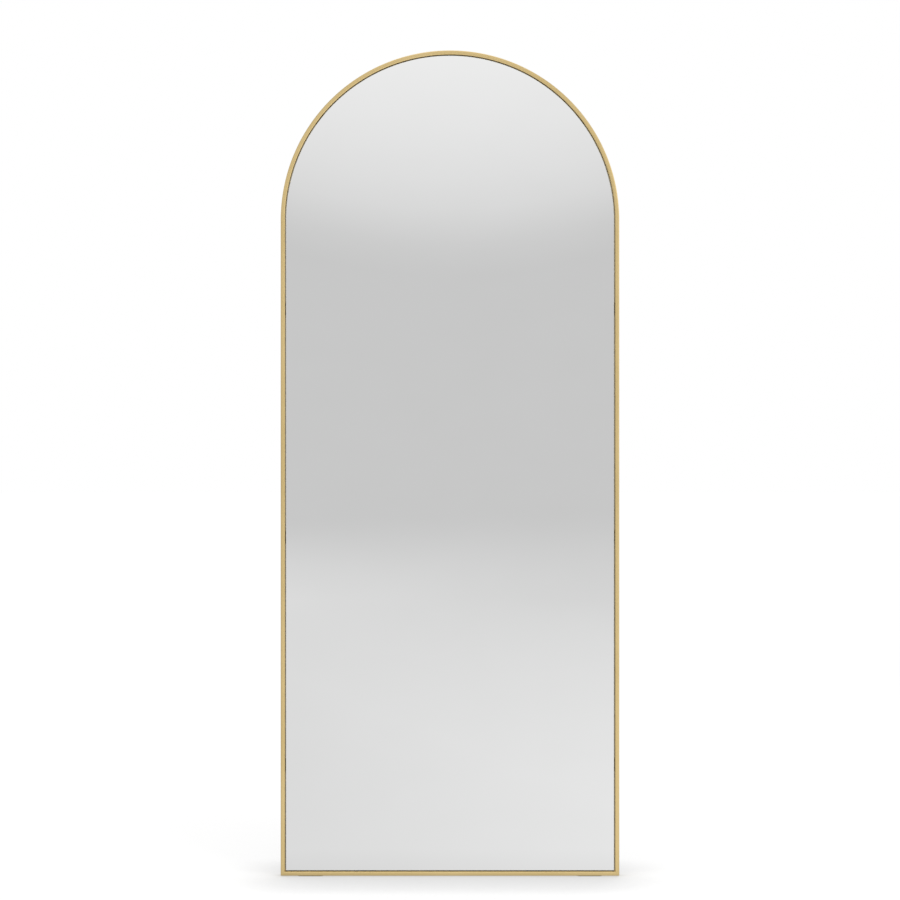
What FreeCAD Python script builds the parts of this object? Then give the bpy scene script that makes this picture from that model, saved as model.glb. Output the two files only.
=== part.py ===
import FreeCAD, Part
import math
import os

from FreeCAD import Placement, Rotation, Vector

# Leaning floor mirror: an arched mirror glass bonded to a board, which is screwed into a slim frame
# of bent rectangular steel tube.
# Millimetres. X runs across the mirror, its face looks to -Y, its wall side to +Y, and +Z is up.
# The origin is on the floor, at the middle of the mirror's width and depth.

# ---------------------------------------------------------------- driving dimensions
# Frame
frame_width = 800.0
leg_height = 1550.0  # from the frame's underside to where the arch springs
tube_face = 10.0  # width of the tube as seen from the front
tube_depth = 30.0
tube_wall = 1.2
tube_corner = 3.0  # outer corner radius of the tube's section

# Glass and what bonds it to the board
glass_thickness = 5.0
glass_recess = 3.0  # from the frame's front face back to the glass
glass_gap = 2.0  # shadow gap between glass and frame
glass_arris = 1.0
film_thickness = 0.3
film_margin = 3.0  # from the glass's edge in to the film's
bond_thickness = 1.2

# Foam tape: long strips beside the glass's edges, short ones across
tape_width = 20.0
tape_margin = 25.0  # from the glass's edge in to the tape
side_tape_top_gap = 180.0  # from the arch's spring down to the long strips
cross_tape_inset = 85.0  # from the long strips' outer edge in to the short strips' ends

# Beads of mirror adhesive, upright so that air gets out between them, in rows of short lengths
bead_width = 24.0
bead_length = 560.0
bead_clip = 7.0  # blunt corners of its ends
bead_columns = 3
bead_rows = 2
bead_side_margin = 180.0  # from the glass's side to the outer beads' middle
bead_foot_margin = 420.0  # from the glass's foot to the lowest beads' middle
bead_spring_margin = 380.0  # from the arch's spring down to the highest beads' middle

# Board
board_thickness = 9.0
board_gap = 1.0  # clearance between board and frame

# Tabs welded inside the frame, and their screws
tab_thickness = 1.5
tab_reach = 24.0
tab_length = 32.0
tab_clip = 4.0  # clipped corners of the free end
tab_hole_inset = 14.0  # from the frame's inner wall to the screw
weld_gap = 0.2
leg_tab_count = 3
leg_tab_foot_margin = 260.0  # from the frame's underside to the lowest tab
leg_tab_spring_margin = 210.0  # from the arch's spring down to the highest tab
arch_tab_angles = (-52.0, 0.0, 52.0)  # from the crown
bottom_tab_pitch = 400.0

# Wood screws, the same size in the tabs and in the hangers
screw_head_diameter = 7.6
screw_head_height = 2.3
screw_shank_diameter = 3.8
screw_cover = 1.5  # board left in front of a screw's tip
screw_hole_clearance = 0.35
pilot_clearance = 0.05
round_sides = 16  # small shafts, holes and wires have this many sides, to keep the model light

# Setting blocks under the glass
block_length = 40.0
block_pitch = 400.0

# D ring hangers
hanger_pitch = 420.0
hanger_drop = 71.5  # from the arch's spring down to the rings' axes
strap_width = 16.0
strap_sheet = 1.2
strap_fold = 7.0  # from the ring's axis to where the two layers meet
strap_end_corner = 5.0
strap_hole_spacing = 14.0
strap_end_margin = 8.5  # from the lower hole to the strap's end
ring_wire = 3.2
ring_side_clearance = 1.4  # from the strap's edge to the ring's leg
ring_bend_gap = 0.6  # straight bar that shows beside the strap before the wire bends
ring_leg = 6.0  # from the bar's axis to where the round end starts
ring_steps = 12  # straight lengths that make the round end
ring_corner_steps = 3
ring_fit = 0.08  # running clearance of the ring's bar in its loop
ring_rest_gap = 0.3  # from the resting ring to the strap
ring_screw_gap = 5.0  # from the ring to the nearer screw's head

# Rubber pads
bumper_length = 18.0
bumper_height = 2.5
upper_bumper_angle = 38.0  # from the crown
lower_bumper_height = 160.0
glide_length = 60.0
glide_margin = 2.0  # from the edge of the tube's flat in to the glide
glide_height = 1.5
glide_corner = 6.0
glide_inset = 70.0  # from the frame's side to the glide's middle

# ---------------------------------------------------------------- places worked out from them
outer_radius = frame_width / 2
inner_radius = outer_radius - tube_face
frame_bottom = glide_height
spring_height = frame_bottom + leg_height
inner_bottom = frame_bottom + tube_face

front_y = -(tube_depth + bumper_height) / 2
rear_y = front_y + tube_depth
glass_y = front_y + glass_recess
film_y = glass_y + glass_thickness
bond_y = film_y + film_thickness
board_y = bond_y + bond_thickness
board_back_y = board_y + board_thickness
tab_back_y = board_back_y + tab_thickness

inner_clip = (2 - math.sqrt(2)) * (tube_corner - tube_wall)  # keeps the wall's thickness at the corners
block_depth = glass_thickness - 2 * glass_arris
bumper_width = tube_face - 2 * tube_corner
glide_width = tube_depth - 2 * (tube_corner + glide_margin)

loop_inner_radius = ring_wire / 2 + ring_fit
loop_outer_radius = loop_inner_radius + strap_sheet
ring_axis_y = board_back_y + loop_outer_radius
strap_thickness = 2 * strap_sheet
ring_half_width = strap_width / 2 + ring_side_clearance + ring_wire / 2
ring_corner = ring_side_clearance + ring_wire / 2 - ring_bend_gap
ring_reach = ring_leg + ring_half_width  # from the ring's axis to the far side of its wire
ring_rest_lift = strap_thickness + ring_wire / 2 + ring_rest_gap - loop_outer_radius
ring_crossing = ring_leg + math.sqrt(ring_half_width**2 - (strap_width / 2)**2)  # where it meets the strap
ring_rest_angle = math.degrees(math.asin(ring_rest_lift / ring_crossing))
upper_hole_drop = ring_reach + ring_wire / 2 + ring_screw_gap + screw_head_diameter / 2
lower_hole_drop = upper_hole_drop + strap_hole_spacing
strap_length = lower_hole_drop + strap_end_margin
hanger_height = spring_height - hanger_drop

tab_screw_length = tab_thickness + board_thickness - screw_cover
hanger_screw_length = strap_thickness + board_thickness - screw_cover

RIGHT = Vector(1, 0, 0)
BACK = Vector(0, 1, 0)
UP = Vector(0, 0, 1)
ARCH_CENTRE = Vector(0, 0, spring_height)
SAME_PLACE = 1e-6


# ---------------------------------------------------------------- helpers
def save(shape, node):
    """Write one node's STEP file and print what it holds."""
    os.makedirs("parts", exist_ok=True)
    shape.exportStep(f"parts/{node}.step")
    print(f"{node}: {len(shape.Solids)} solid(s), {shape.Volume / 1000:.2f} cm3, valid {shape.isValid()}")


def rounded_rectangle(width, height, radius):
    """Closed wire in the XY plane, centred on the origin."""
    x = width / 2
    y = height / 2
    corners = []
    for sx, sy, start in ((1, 1, 0), (-1, 1, 90), (-1, -1, 180), (1, -1, 270)):
        centre = Vector(sx * (x - radius), sy * (y - radius), 0)
        corners.append(Part.makeCircle(radius, centre, UP, start, start + 90))
    edges = []
    for index, corner in enumerate(corners):
        end = corner.lastVertex().Point
        start = corners[(index + 1) % 4].firstVertex().Point
        edges.append(corner)
        if end.distanceToPoint(start) > SAME_PLACE:
            edges.append(Part.makeLine(end, start))
    return Part.Wire(edges)


def clipped_rectangle(width, height, clip):
    """Closed wire in the XY plane, centred on the origin, with its corners cut off straight."""
    x = width / 2
    y = height / 2
    points = []
    for sx, sy in ((1, 1), (-1, 1), (-1, -1), (1, -1)):
        on_side = Vector(sx * x, sy * (y - clip), 0)
        on_end = Vector(sx * (x - clip), sy * y, 0)
        points += [on_side, on_end] if sx * sy > 0 else [on_end, on_side]
    return Part.makePolygon(points + [points[0]])


def small_round(radius, centre, axis):
    """Closed wire of a small round section, with its corners on the circle."""
    turn = Rotation(UP, axis)
    points = []
    for index in range(round_sides):
        angle = 2 * math.pi * index / round_sides
        points.append(centre + turn.multVec(Vector(radius * math.cos(angle), radius * math.sin(angle), 0)))
    return Part.makePolygon(points + [points[0]])


def small_shaft(radius, length, base, axis):
    """Small straight shaft, or what cuts its hole."""
    return Part.Face(small_round(radius, base, axis)).extrude(axis * length)


def spread(low, high, count):
    """Count values evenly spaced from low to high."""
    return [low + (high - low) * index / (count - 1) for index in range(count)]


def arch_plate(inset, y, thickness):
    """Arched plate that follows the frame's inner opening, smaller by inset all round."""
    radius = inner_radius - inset
    low = inner_bottom + inset
    left_foot = Vector(-radius, y, low)
    right_foot = Vector(radius, y, low)
    left_spring = Vector(-radius, y, spring_height)
    right_spring = Vector(radius, y, spring_height)
    crown = Vector(0, y, spring_height + radius)
    outline = Part.Wire([
        Part.makeLine(left_foot, right_foot),
        Part.makeLine(right_foot, right_spring),
        Part.Arc(right_spring, crown, left_spring).toShape(),
        Part.makeLine(left_spring, left_foot),
    ])
    return Part.Face(outline).extrude(Vector(0, thickness, 0))


def edges_on_plane(shape, normal, level):
    """Edges that lie wholly in the plane at level along normal."""
    found = []
    for edge in shape.Edges:
        middle = edge.valueAt((edge.FirstParameter + edge.LastParameter) / 2)
        points = [vertex.Point for vertex in edge.Vertexes] + [middle]
        if all(abs(point.dot(normal) - level) < SAME_PLACE for point in points):
            found.append(edge)
    return found


def end_corners(plate, normal, level):
    """Corner edges of an upright plate's end, which lies in the plane at level along normal."""
    corners = []
    for edge in edges_on_plane(plate, normal, level):
        start, end = [vertex.Point for vertex in edge.Vertexes]
        if abs(start.y - end.y) > SAME_PLACE:
            corners.append(edge)
    return corners


def clip_end(tab, normal, level):
    """Clip the corners of a tab's free end."""
    return tab.makeChamfer(tab_clip, end_corners(tab, normal, level))


def on_crown(shape, angle):
    """Turn a shape made at the crown to its place on the arch, angle degrees clockwise from the top."""
    turned = shape.copy()
    turned.rotate(ARCH_CENTRE, BACK, angle)
    return turned


# ---------------------------------------------------------------- frame
def tube_section(centre, across):
    """Outer and inner face of the tube's section: tube_face along across, tube_depth along Y."""
    turn = Rotation(across, BACK, across.cross(BACK), "XYZ")
    outline = rounded_rectangle(tube_face, tube_depth, tube_corner)
    hollow = clipped_rectangle(tube_face - 2 * tube_wall, tube_depth - 2 * tube_wall, inner_clip)
    faces = []
    for wire in (outline, hollow):
        wire.Placement = Placement(centre, turn)
        faces.append(Part.Face(wire))
    return faces


def mitre_wedge(side, above):
    """Wedge above or below the mitre plane of a bottom corner, larger than the tube."""
    reach = 2 * tube_face
    corner = Vector(side * outer_radius, front_y, frame_bottom)
    inside = Vector(side * (outer_radius - reach), front_y, frame_bottom + reach)
    third = Vector(corner.x, front_y, inside.z) if above else Vector(inside.x, front_y, corner.z)
    face = Part.Face(Part.makePolygon([corner, inside, third, corner]))
    return face.extrude(Vector(0, tube_depth, 0))


def make_arch_tube():
    """Both legs and the arch, from one length of tube, with mitred feet."""
    middle_y = front_y + tube_depth / 2
    middle_radius = outer_radius - tube_face / 2
    skins = []
    for layer in (0, 1):
        pieces = []
        for side in (-1, 1):
            foot = Vector(side * middle_radius, middle_y, frame_bottom)
            section = tube_section(foot, RIGHT)[layer]
            pieces.append(section.extrude(Vector(0, 0, leg_height)))
        spring = Vector(middle_radius, middle_y, spring_height)
        section = tube_section(spring, RIGHT)[layer]
        pieces.append(section.revolve(ARCH_CENTRE, Vector(0, -1, 0), 180))
        skins.append(pieces[0].fuse(pieces[1:]).removeSplitter())
    tube = skins[0].cut(skins[1])
    return tube.cut([mitre_wedge(side, above=False) for side in (-1, 1)])


def make_bottom_tube():
    """Straight tube between the legs, mitred at both ends."""
    middle_y = front_y + tube_depth / 2
    start = Vector(-outer_radius, middle_y, frame_bottom + tube_face / 2)
    outer, inner = tube_section(start, UP)
    along = Vector(frame_width, 0, 0)
    tube = outer.extrude(along).cut(inner.extrude(along))
    return tube.cut([mitre_wedge(side, above=True) for side in (-1, 1)])


# ---------------------------------------------------------------- glass, bonding and board
def make_glass():
    """Arched glass with ground arrises on both faces."""
    plate = arch_plate(glass_gap, glass_y, glass_thickness)
    rims = edges_on_plane(plate, BACK, glass_y) + edges_on_plane(plate, BACK, film_y)
    return plate.makeChamfer(glass_arris, rims)


def make_film():
    """Splinter film on the back of the glass."""
    return arch_plate(glass_gap + film_margin, film_y, film_thickness)


def make_tape():
    """Two long strips up the sides, one across the bottom and one at the arch's spring."""
    reach = inner_radius - glass_gap - tape_margin
    low = inner_bottom + glass_gap + tape_margin
    long_foot = low + tape_width
    long_top = spring_height - side_tape_top_gap
    short_reach = reach - cross_tape_inset
    strips = []
    for side in (-1, 1):
        x = side * (reach - tape_width / 2) - tape_width / 2
        corner = Vector(x, bond_y, long_foot)
        strips.append(Part.makeBox(tape_width, bond_thickness, long_top - long_foot, corner))
    for z in (low, spring_height + tape_margin):
        corner = Vector(-short_reach, bond_y, z)
        strips.append(Part.makeBox(2 * short_reach, bond_thickness, tape_width, corner))
    return Part.makeCompound(strips)


def make_beads():
    """Blunt ended beads of adhesive, pressed flat between film and board."""
    side = inner_radius - glass_gap - bead_side_margin
    low = inner_bottom + glass_gap + bead_foot_margin
    high = spring_height - bead_spring_margin
    outline = clipped_rectangle(bead_width, bead_length, bead_clip)
    outline.rotate(Vector(0, 0, 0), RIGHT, 90)
    bead = Part.Face(outline).extrude(Vector(0, bond_thickness, 0))
    beads = []
    for x in spread(-side, side, bead_columns):
        for z in spread(low, high, bead_rows):
            beads.append(bead.translated(Vector(x, bond_y, z)))
    return Part.makeCompound(beads)


def pilot_hole(x, z, depth):
    """Blind hole in the board's back."""
    radius = screw_shank_diameter / 2 + pilot_clearance
    return small_shaft(radius, depth, Vector(x, board_back_y - depth, z), BACK)


def make_board():
    """MDF board with a pilot hole for every screw."""
    board = arch_plate(board_gap, board_y, board_thickness)
    holes = []
    for x, z in tab_screw_places():
        holes.append(pilot_hole(x, z, tab_screw_length - tab_thickness + pilot_clearance))
    for x, z in hanger_screw_places():
        holes.append(pilot_hole(x, z, hanger_screw_length - strap_thickness + pilot_clearance))
    return board.cut(holes)


def make_block(side):
    """Rubber setting block in the gap under the glass."""
    x = side * block_pitch / 2 - block_length / 2
    return Part.makeBox(block_length, block_depth, glass_gap, Vector(x, glass_y + glass_arris, inner_bottom))


# ---------------------------------------------------------------- tabs and screws
def tab_at_crown():
    """Tab welded to the arch at its crown, its outer edge cut to the tube's inner radius."""
    top = spring_height + inner_radius - weld_gap
    low = spring_height + inner_radius - tab_reach
    block = Part.makeBox(tab_length, tab_thickness, tube_face + tab_reach,
                         Vector(-tab_length / 2, board_back_y, low))
    within = Part.makeCylinder(top - spring_height, tab_thickness,
                               Vector(0, board_back_y, spring_height), BACK)
    hole = tab_hole(0, spring_height + inner_radius - tab_hole_inset)
    return clip_end(block.common(within).cut(hole), UP, low)


def tab_hole(x, z):
    """Clearance hole through a tab."""
    radius = screw_shank_diameter / 2 + screw_hole_clearance
    return small_shaft(radius, tab_thickness, Vector(x, board_back_y, z), BACK)


def make_arch_tabs():
    """Tabs along the arch."""
    tab = tab_at_crown()
    return Part.makeCompound([on_crown(tab, angle) for angle in arch_tab_angles])


def leg_tab_places():
    """Heights of the tabs up a leg."""
    return spread(frame_bottom + leg_tab_foot_margin, spring_height - leg_tab_spring_margin, leg_tab_count)


def make_leg_tabs(side):
    """Tabs up one leg."""
    tabs = []
    free_x = side * (inner_radius - tab_reach)
    wall_x = side * (inner_radius - weld_gap)
    for z in leg_tab_places():
        corner = Vector(min(free_x, wall_x), board_back_y, z - tab_length / 2)
        tab = Part.makeBox(abs(wall_x - free_x), tab_thickness, tab_length, corner)
        tab = tab.cut(tab_hole(side * (inner_radius - tab_hole_inset), z))
        tabs.append(clip_end(tab, RIGHT, free_x))
    return Part.makeCompound(tabs)


def make_bottom_tabs():
    """Tabs on the bottom tube."""
    tabs = []
    wall_z = inner_bottom + weld_gap
    free_z = inner_bottom + tab_reach
    for side in (-1, 1):
        x = side * bottom_tab_pitch / 2
        corner = Vector(x - tab_length / 2, board_back_y, wall_z)
        tab = Part.makeBox(tab_length, tab_thickness, free_z - wall_z, corner)
        tab = tab.cut(tab_hole(x, inner_bottom + tab_hole_inset))
        tabs.append(clip_end(tab, UP, free_z))
    return Part.makeCompound(tabs)


def tab_screw_places():
    """(x, z) of every tab screw."""
    places = []
    for side in (-1, 1):
        for z in leg_tab_places():
            places.append((side * (inner_radius - tab_hole_inset), z))
        places.append((side * bottom_tab_pitch / 2, inner_bottom + tab_hole_inset))
    for angle in arch_tab_angles:
        reach = inner_radius - tab_hole_inset
        turn = math.radians(angle)
        places.append((reach * math.sin(turn), spring_height + reach * math.cos(turn)))
    return places


def hanger_screw_places():
    """(x, z) of every hanger screw."""
    drops = (upper_hole_drop, lower_hole_drop)
    return [(side * hanger_pitch / 2, hanger_height - drop) for side in (-1, 1) for drop in drops]


def make_screw(x, seat_y, z, length):
    """Pan head wood screw driven towards -Y, its head on seat_y."""
    seat = Vector(x, seat_y, z)
    tip = Vector(x, seat_y - length, z)
    head = small_shaft(screw_head_diameter / 2, screw_head_height, seat, BACK)
    return head.fuse(small_shaft(screw_shank_diameter / 2, length, tip, BACK))


def make_tab_screws():
    """Screws through the tabs into the board."""
    return Part.makeCompound([make_screw(x, tab_back_y, z, tab_screw_length) for x, z in tab_screw_places()])


# ---------------------------------------------------------------- hangers
def strap_point(drop, rise, x):
    """Point on a hanger: drop below the ring's axis, rise above the board's back."""
    return Vector(x, board_back_y + rise, hanger_height - drop)


def strap_profile(x):
    """Side view of the folded strap at x, with the bore that the ring's bar turns in."""
    centre = strap_point(0, loop_outer_radius, x)
    run = math.hypot(strap_fold, strap_thickness - loop_outer_radius)
    heading = math.atan2(strap_thickness - loop_outer_radius, strap_fold)
    tangent = heading + math.acos(loop_outer_radius / run)

    def loop_point(radius):
        return strap_point(radius * math.cos(tangent), loop_outer_radius + radius * math.sin(tangent), x)

    slope = (loop_outer_radius + loop_outer_radius * math.sin(tangent) - strap_thickness) / (
        strap_fold - loop_outer_radius * math.cos(tangent))
    inner_top = loop_outer_radius + loop_inner_radius * math.sin(tangent)
    meeting = loop_inner_radius * math.cos(tangent) + (inner_top - strap_sheet) / slope
    body = Part.Face(Part.makePolygon([
        strap_point(0, 0, x), strap_point(strap_length, 0, x),
        strap_point(strap_length, strap_thickness, x), strap_point(strap_fold, strap_thickness, x),
        loop_point(loop_outer_radius), centre, strap_point(0, 0, x),
    ]))
    hollow = Part.Face(Part.makePolygon([
        centre, loop_point(loop_inner_radius), strap_point(meeting, strap_sheet, x),
        strap_point(0, strap_sheet, x), centre,
    ]))
    outer_disc = Part.Face(Part.Wire(Part.makeCircle(loop_outer_radius, centre, RIGHT)))
    inner_disc = Part.Face(Part.Wire(Part.makeCircle(loop_inner_radius, centre, RIGHT)))
    return body.fuse(outer_disc).cut([hollow, inner_disc]).removeSplitter()


def make_strap(side):
    """Steel strap folded double round the ring's bar, screwed to the board."""
    x = side * hanger_pitch / 2
    profile = strap_profile(x - strap_width / 2)
    strap = profile.extrude(Vector(strap_width, 0, 0)).Solids[0]
    radius = screw_shank_diameter / 2 + screw_hole_clearance
    for drop in (upper_hole_drop, lower_hole_drop):
        strap = strap.cut(small_shaft(radius, strap_thickness, strap_point(drop, 0, x), BACK))
    return strap.makeFillet(strap_end_corner, end_corners(strap, UP, hanger_height - strap_length))


def arc_points(centre, radius, start, end, steps):
    """Points along an arc in the XZ plane, angles in degrees from +X towards -Z."""
    points = []
    for angle in spread(start, end, steps + 1):
        turn = math.radians(angle)
        points.append(centre + Vector(radius * math.cos(turn), 0, -radius * math.sin(turn)))
    return points


def make_ring(side):
    """D ring of round wire, hanging down and resting on its strap."""
    straight = ring_half_width - ring_corner
    points = [Vector(0, 0, 0)]
    points += arc_points(Vector(straight, 0, -ring_corner), ring_corner, -90, 0, ring_corner_steps)
    points += arc_points(Vector(0, 0, -ring_leg), ring_half_width, 0, 180, ring_steps)
    points += arc_points(Vector(-straight, 0, -ring_corner), ring_corner, 180, 270, ring_corner_steps)
    path = Part.makePolygon(points + [points[0]])
    section = small_round(ring_wire / 2, points[0], RIGHT)
    ring = path.makePipeShell([section], True, False, 1)
    ring.rotate(points[0], RIGHT, ring_rest_angle)
    ring.translate(Vector(side * hanger_pitch / 2, ring_axis_y, hanger_height))
    return ring


def make_hanger_screws():
    """Screws of both straps."""
    seat_y = board_back_y + strap_thickness
    places = hanger_screw_places()
    return Part.makeCompound([make_screw(x, seat_y, z, hanger_screw_length) for x, z in places])


# ---------------------------------------------------------------- rubber pads
def bumper(centre):
    """Stadium shaped rubber pad on the frame's rear face, long along X."""
    outline = rounded_rectangle(bumper_length, bumper_width, bumper_width / 2)
    outline.Placement = Placement(centre, Rotation(RIGHT, 90))
    return Part.Face(outline).extrude(Vector(0, bumper_height, 0))


def make_upper_bumper(side):
    """Pad on the arch that meets the wall when the mirror leans."""
    crown = Vector(0, rear_y, spring_height + outer_radius - tube_face / 2)
    return on_crown(bumper(crown), side * upper_bumper_angle)


def make_lower_bumper(side):
    """Pad low on a leg, for a mirror that hangs flat on the wall."""
    centre = Vector(side * (outer_radius - tube_face / 2), rear_y, frame_bottom + lower_bumper_height)
    pad = bumper(centre)
    pad.rotate(centre, BACK, 90)
    return pad


def make_glide(side):
    """Thin rubber glide under the bottom tube."""
    centre = Vector(side * (outer_radius - glide_inset), front_y + tube_depth / 2, 0)
    outline = rounded_rectangle(glide_length, glide_width, glide_corner)
    outline.translate(centre)
    return Part.Face(outline).extrude(Vector(0, 0, glide_height))


# ---------------------------------------------------------------- build
save(make_arch_tube(), "arch_tube")
save(make_bottom_tube(), "bottom_tube")
save(make_glass(), "mirror_glass")
save(make_film(), "safety_film")
save(make_tape(), "foam_tape")
save(make_beads(), "adhesive_beads")
save(make_board(), "backing_board")
save(make_arch_tabs(), "arch_tabs")
save(make_bottom_tabs(), "bottom_tabs")
save(make_tab_screws(), "tab_screws")
save(make_hanger_screws(), "hanger_screws")
for side, name in ((-1, "left"), (1, "right")):
    save(make_leg_tabs(side), f"leg_tabs_{name}")
    save(make_block(side), f"setting_block_{name}")
    save(make_strap(side), f"hanger_strap_{name}")
    save(make_ring(side), f"hanger_ring_{name}")
    save(make_upper_bumper(side), f"wall_bumper_upper_{name}")
    save(make_lower_bumper(side), f"wall_bumper_lower_{name}")
    save(make_glide(side), f"floor_glide_{name}")

print(f"ring axis y {ring_axis_y:.3f}, rest angle {ring_rest_angle:.3f}, rear y {rear_y:.3f}")
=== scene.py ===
"""Looks of an arched floor mirror in a slim satin gold frame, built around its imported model.

Everything is in metres, in the model's own axes: X runs across the mirror, the glass looks to -Y,
the wall side is +Y, and the floor is at Z 0.
"""

import functools
import logging
import math
from dataclasses import dataclass
from enum import Enum
from typing import Protocol, Sequence

import bmesh
import bpy
from mathutils import Matrix, Vector


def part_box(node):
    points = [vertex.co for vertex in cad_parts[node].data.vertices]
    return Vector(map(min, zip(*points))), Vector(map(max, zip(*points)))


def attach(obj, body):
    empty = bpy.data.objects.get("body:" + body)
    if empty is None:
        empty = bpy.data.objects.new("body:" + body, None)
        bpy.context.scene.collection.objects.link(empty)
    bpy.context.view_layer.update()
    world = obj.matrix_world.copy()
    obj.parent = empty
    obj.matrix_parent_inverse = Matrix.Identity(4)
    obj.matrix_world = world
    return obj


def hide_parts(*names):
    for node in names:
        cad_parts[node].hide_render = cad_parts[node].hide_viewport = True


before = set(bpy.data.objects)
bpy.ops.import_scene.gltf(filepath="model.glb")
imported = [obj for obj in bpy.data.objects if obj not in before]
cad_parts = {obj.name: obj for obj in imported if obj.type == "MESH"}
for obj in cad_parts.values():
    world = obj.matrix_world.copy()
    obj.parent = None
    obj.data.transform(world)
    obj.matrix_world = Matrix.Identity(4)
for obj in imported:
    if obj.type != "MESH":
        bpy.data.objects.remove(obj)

LOG = logging.getLogger("floor_mirror")
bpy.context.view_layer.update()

MM = 0.001
LEG_HEIGHT = 1.55  # from the frame's underside to where the arch springs
TUBE_WALL = 1.2 * MM
TUBE_CORNER = 3.0 * MM
SHARP_EDGE = math.radians(32)
NOISE_SPAN = (0.3, 0.7)  # the values that a noise takes almost everywhere

ACROSS = Vector((1, 0, 0))
BACK = Vector((0, 1, 0))
UP = Vector((0, 0, 1))

Colour = tuple[float, float, float]
Grain = tuple[float, float, float]
Range = tuple[float, float]


class Side(Enum):
    """The mirror's two sides, as its viewer sees them."""

    LEFT = -1
    RIGHT = 1

    @property
    def label(self) -> str:
        """The side's word in node and body names."""
        return self.name.lower()


class Slot(Enum):
    """Names of the material slots that the pieces carry."""

    GOLD = "gold_frame"
    MIRROR = "mirror"
    FILM = "splinter_film"
    FOAM = "foam"
    ADHESIVE = "adhesive"
    BOARD = "board"
    SCREW = "screw_zinc"
    HANGER = "hanger_zinc"
    RUBBER = "rubber_pad"


class Pattern(Enum):
    """What a finish's pattern follows."""

    OBJECT = "object"
    TUBE = "straightened"  # the attribute that holds a bent tube's own straightened coordinates


MIRROR_BODY = "mirror"


@dataclass(frozen=True)
class Layout:
    """The mirror's main places and sizes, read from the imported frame."""

    outer_radius: float
    foot: float  # height of the frame's underside
    spring: float  # height where the arch springs
    front: float  # Y of the frame's front face
    rear: float
    tube_face: float
    glass_front: float
    glass_back: float
    glass_radius: float
    glass_foot: float
    board_back: float
    tab_back: float

    @classmethod
    def from_frame(cls) -> "Layout":
        """Reads the boxes of the CAD nodes.

        Returns:
            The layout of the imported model.
        """
        tube_low, tube_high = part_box("arch_tube")
        rail_low, rail_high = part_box("bottom_tube")
        glass_low, glass_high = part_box("mirror_glass")
        tab_low, tab_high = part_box("bottom_tabs")
        return cls(
            outer_radius=tube_high.x, foot=tube_low.z, spring=tube_low.z + LEG_HEIGHT,
            front=tube_low.y, rear=tube_high.y, tube_face=rail_high.z - rail_low.z,
            glass_front=glass_low.y, glass_back=glass_high.y, glass_radius=glass_high.x,
            glass_foot=glass_low.z, board_back=tab_low.y, tab_back=tab_high.y,
        )

    @property
    def inner_radius(self) -> float:
        """Radius of the arch's inner wall."""
        return self.outer_radius - self.tube_face

    @property
    def middle_radius(self) -> float:
        """Radius of the arch at the tube's middle."""
        return self.outer_radius - self.tube_face / 2

    @property
    def middle(self) -> float:
        """Y of the tube's middle."""
        return (self.front + self.rear) / 2

    @property
    def depth(self) -> float:
        """Depth of the tube."""
        return self.rear - self.front

    @property
    def arch_centre(self) -> Vector:
        """Centre of the arch, at the tube's middle depth."""
        return Vector((0, self.middle, self.spring))

    def on_arch(self, angle: float) -> Matrix:
        """Turns what was made at the crown to its place on the arch.

        Args:
            angle: Clockwise from the top, in radians.

        Returns:
            The turn about the arch's centre.
        """
        centre = Matrix.Translation(self.arch_centre)
        return centre @ Matrix.Rotation(angle, 4, BACK) @ centre.inverted()


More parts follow.
